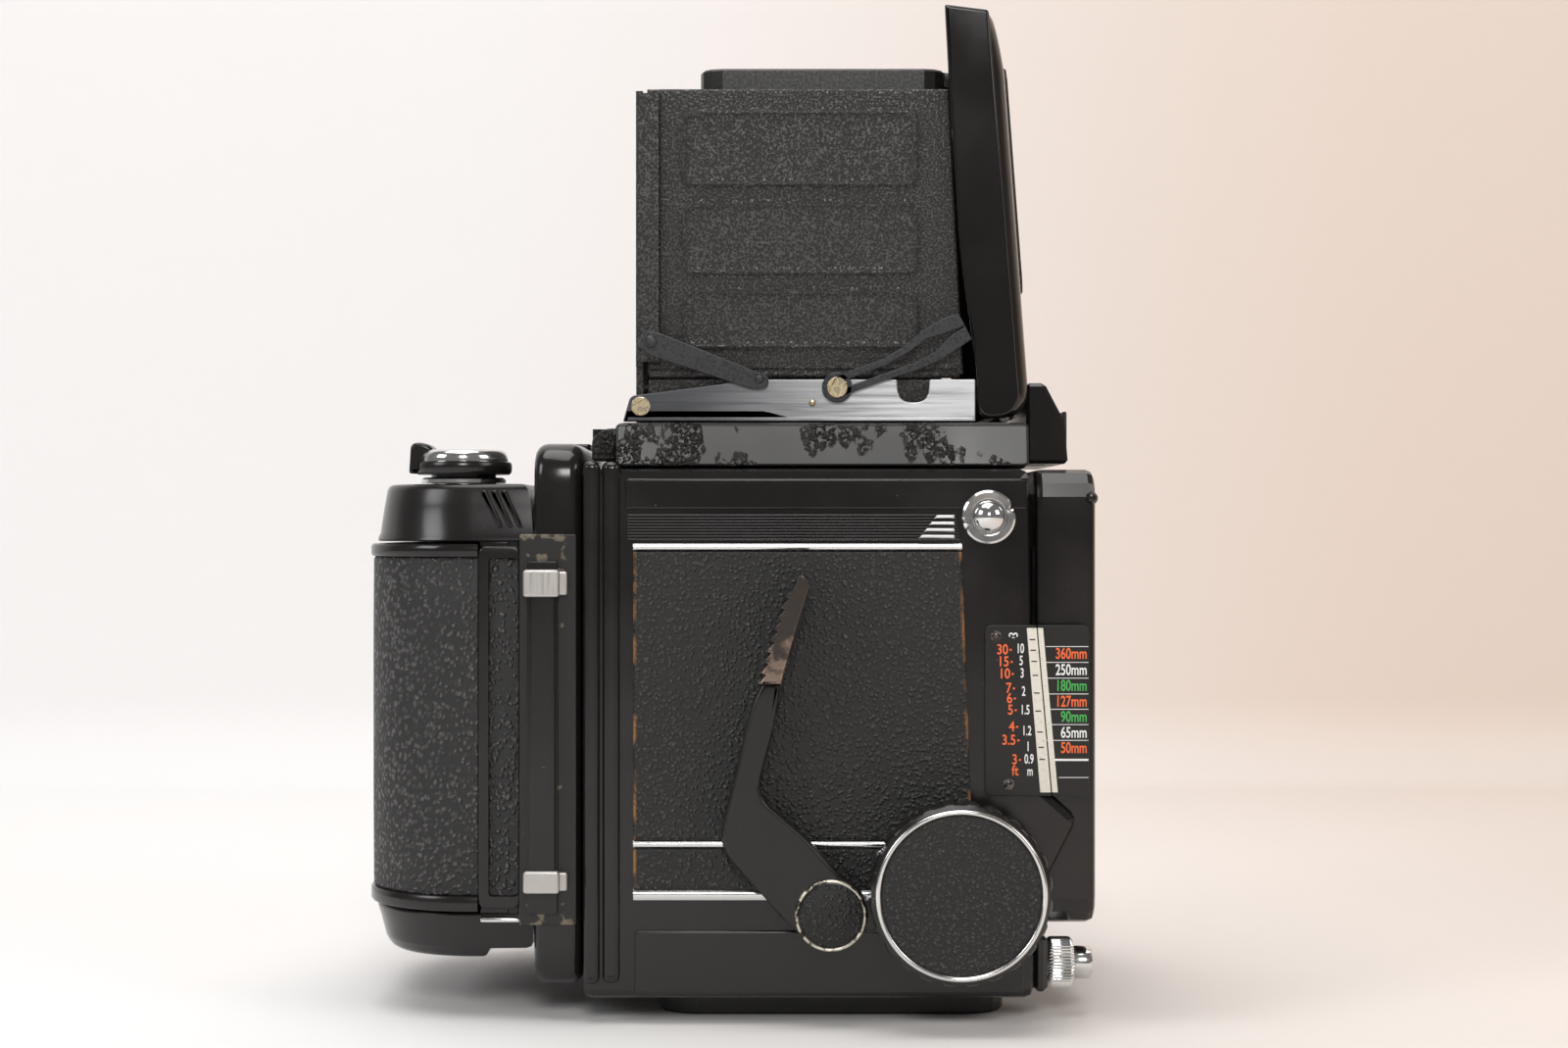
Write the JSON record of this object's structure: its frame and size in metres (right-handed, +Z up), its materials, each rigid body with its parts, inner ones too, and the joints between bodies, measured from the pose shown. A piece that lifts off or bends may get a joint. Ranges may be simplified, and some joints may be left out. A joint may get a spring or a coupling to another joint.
{
  "type": "medium format single lens reflex camera",
  "caption": "Bellows focusing medium format reflex camera body with open folding hood, magnifier, revolving roll film back, focus knobs and cocking lever, no lens.",
  "frame": {"origin": "centre of the camera's length and width, at the underside of its base plate", "axes": "+X towards the lens side (front), +Z up, -Y the camera's right side with the cocking lever"},
  "size_m": [0.1612, 0.132, 0.2219],
  "materials": {
    "black_lacquer": "satin black lacquer, warm and lightly worn",
    "black_anodised": "semi matt black",
    "matt_black_paint": "matt black inside paint",
    "satin_dark_steel": "dark satin steel",
    "worn_dark_metal": "worn dark metal",
    "bright_chrome": "polished",
    "brushed_aluminium": "brushed",
    "plain_steel": "plain",
    "pale_brass": "pale, lightly tarnished",
    "black_leather": "pebbled black leatherette",
    "crinkle_paint": "fine crinkle black",
    "scale_enamel": "black enamel with filled markings",
    "bellows_cloth": "pleated matt black cloth",
    "ground_glass": "finely ground",
    "lens_glass": "clear",
    "mirror_silver": "front silvered",
    "black_plastic": "moulded black"
  },
  "bodies": {
    "camera_body": {"body_shell": "black_lacquer", "base_plate": "black_anodised", "tripod_bush": "plain_steel", "left_leather": "black_leather", "right_leather": "black_leather", "right_trim_upper": "bright_chrome", "right_trim_lower": "bright_chrome", "right_ribbed_strip": "black_anodised", "left_strap_lug": "bright_chrome", "right_strap_lug": "bright_chrome", "distance_scale": "scale_enamel", "focusing_screen": "ground_glass", "mirror_box": "matt_black_paint", "release_housing": "black_lacquer", "finder_frame": "black_anodised", "finder_front_block": "black_anodised", "hood_plate_left": "black_anodised", "hood_plate_right": "black_anodised", "rear_link_left": "satin_dark_steel", "rear_link_right": "satin_dark_steel", "front_stay_left": "satin_dark_steel", "front_stay_right": "satin_dark_steel", "stay_screw_left": "pale_brass", "stay_screw_right": "pale_brass", "hood_rear_wall": "crinkle_paint", "bellows": "bellows_cloth"},
    "front_standard": {"front_standard": "black_lacquer", "lens_mount_ring": "bright_chrome", "lens_scale": "scale_enamel"},
    "focus_shaft": {"focus_shaft": "plain_steel", "focus_knob_left": "black_lacquer", "focus_knob_right": "black_lacquer", "knob_ring_left": "bright_chrome", "knob_ring_right": "bright_chrome"},
    "cocking_lever": {"cocking_lever": "satin_dark_steel", "cocking_thumb": "worn_dark_metal"},
    "lock_collar": {"lock_collar": "bright_chrome"},
    "shutter_button": {"shutter_button": "bright_chrome"},
    "mirror": {"mirror_frame": "black_anodised", "mirror_glass": "mirror_silver"},
    "revolving_back": {"back_adapter": "black_lacquer", "film_holder": "black_lacquer", "latch_panel": "black_leather", "door_hinge_pin": "plain_steel"},
    "slide_lock_right": {"slide_lock_right": "brushed_aluminium"},
    "slide_lock_left": {"slide_lock_left": "brushed_aluminium"},
    "dark_slide": {"dark_slide": "plain_steel"},
    "door_latch": {"door_latch": "bright_chrome"},
    "back_door": {"back_door": "black_leather", "pressure_plate": "black_anodised"},
    "take_up_spool": {"take_up_spool": "black_plastic"},
    "supply_spool": {"supply_spool": "black_plastic"},
    "film_advance": {"advance_lever": "black_anodised", "advance_disc": "bright_chrome"},
    "hood_wall_right": {"hood_wall_right": "crinkle_paint"},
    "hood_wall_left": {"hood_wall_left": "crinkle_paint"},
    "hood_lid": {"hood_lid": "crinkle_paint"},
    "magnifier": {"magnifier_frame": "black_anodised", "magnifier_lens": "lens_glass"}
  },
  "joints": [
    {"name": "focus_slide", "type": "slide", "parent": "camera_body", "child": "front_standard", "axis": [1, 0, 0], "range_m": [0, 0.046], "deforming": ["bellows"]},
    {"name": "focus_turn", "type": "hinge", "parent": "camera_body", "child": "focus_shaft", "pos_m": [0.0494, 0, 0.0301], "axis": [0, 1, 0], "range_deg": [0, 376.6]},
    {"name": "cocking_swing", "type": "hinge", "parent": "camera_body", "child": "cocking_lever", "pos_m": [0.0222, -0.0538, 0.0246], "axis": [0, 1, 0], "range_deg": [0, 68], "stiffness_Nm_per_rad": 0.1},
    {"name": "release_lock_turn", "type": "hinge", "parent": "camera_body", "child": "lock_collar", "pos_m": [0.0699, -0.038, 0.0116], "axis": [1, 0, 0], "range_deg": [0, 60]},
    {"name": "shutter_press", "type": "slide", "parent": "camera_body", "child": "shutter_button", "axis": [-1, 0, 0], "range_m": [0, 0.003], "stiffness_N_per_m": 300},
    {"name": "mirror_swing", "type": "hinge", "parent": "camera_body", "child": "mirror", "pos_m": [-0.0235, 0, 0.104], "axis": [0, -1, 0], "range_deg": [0, 44]},
    {"name": "back_revolve", "type": "hinge", "parent": "camera_body", "child": "revolving_back", "pos_m": [-0.0313, 0, 0.0666], "axis": [1, 0, 0], "range_deg": [0, 90]},
    {"name": "slide_lock_right_lift", "type": "slide", "parent": "revolving_back", "child": "slide_lock_right", "axis": [0, 0, 1], "range_m": [0, 0.004]},
    {"name": "slide_lock_left_lift", "type": "slide", "parent": "revolving_back", "child": "slide_lock_left", "axis": [0, 0, 1], "range_m": [0, 0.004]},
    {"name": "dark_slide_pull", "type": "slide", "parent": "revolving_back", "child": "dark_slide", "axis": [0, 1, 0], "range_m": [0, 0.08]},
    {"name": "door_latch_press", "type": "slide", "parent": "revolving_back", "child": "door_latch", "axis": [0, 0, -1], "range_m": [0, 0.003], "stiffness_N_per_m": 200},
    {"name": "back_door_swing", "type": "hinge", "parent": "revolving_back", "child": "back_door", "pos_m": [-0.0539, 0.048, 0.0666], "axis": [0, 0, -1], "range_deg": [0, 95]},
    {"name": "take_up_spool_turn", "type": "hinge", "parent": "revolving_back", "child": "take_up_spool", "pos_m": [-0.0654, -0.028, 0.0666], "axis": [0, 0, 1], "continuous": true},
    {"name": "supply_spool_turn", "type": "hinge", "parent": "revolving_back", "child": "supply_spool", "pos_m": [-0.0654, 0.028, 0.0666], "axis": [0, 0, 1], "continuous": true},
    {"name": "film_advance_turn", "type": "hinge", "parent": "revolving_back", "child": "film_advance", "pos_m": [-0.0593, -0.03, 0.1168], "axis": [0, 0, -1], "range_deg": [0, 150], "stiffness_Nm_per_rad": 0.01},
    {"name": "hood_wall_right_fold", "type": "hinge", "parent": "camera_body", "child": "hood_wall_right", "pos_m": [0, -0.03835, 0.141], "axis": [-1, 0, 0], "range_deg": [0, 89], "stiffness_Nm_per_rad": 0.02, "springref_deg": -22.92},
    {"name": "hood_wall_left_fold", "type": "hinge", "parent": "camera_body", "child": "hood_wall_left", "pos_m": [0, 0.03835, 0.1434], "axis": [1, 0, 0], "range_deg": [0, 86], "stiffness_Nm_per_rad": 0.02, "springref_deg": -22.92},
    {"name": "hood_lid_lean", "type": "hinge", "parent": "camera_body", "child": "hood_lid", "pos_m": [0.061, 0, 0.1317], "axis": [0, -1, 0], "range_deg": [0, 3], "stiffness_Nm_per_rad": 0.8, "springref_deg": -5.73},
    {"name": "magnifier_fold", "type": "hinge", "parent": "hood_lid", "child": "magnifier", "pos_m": [0.0506, 0, 0.2071], "axis": [0, -1, 0], "range_deg": [0, 87], "stiffness_Nm_per_rad": 0.05, "springref_deg": -34.38}
  ],
  "couplings": [
    {"joint": "focus_turn", "follows": "focus_slide", "rad_per_m": 142.86}
  ]
}
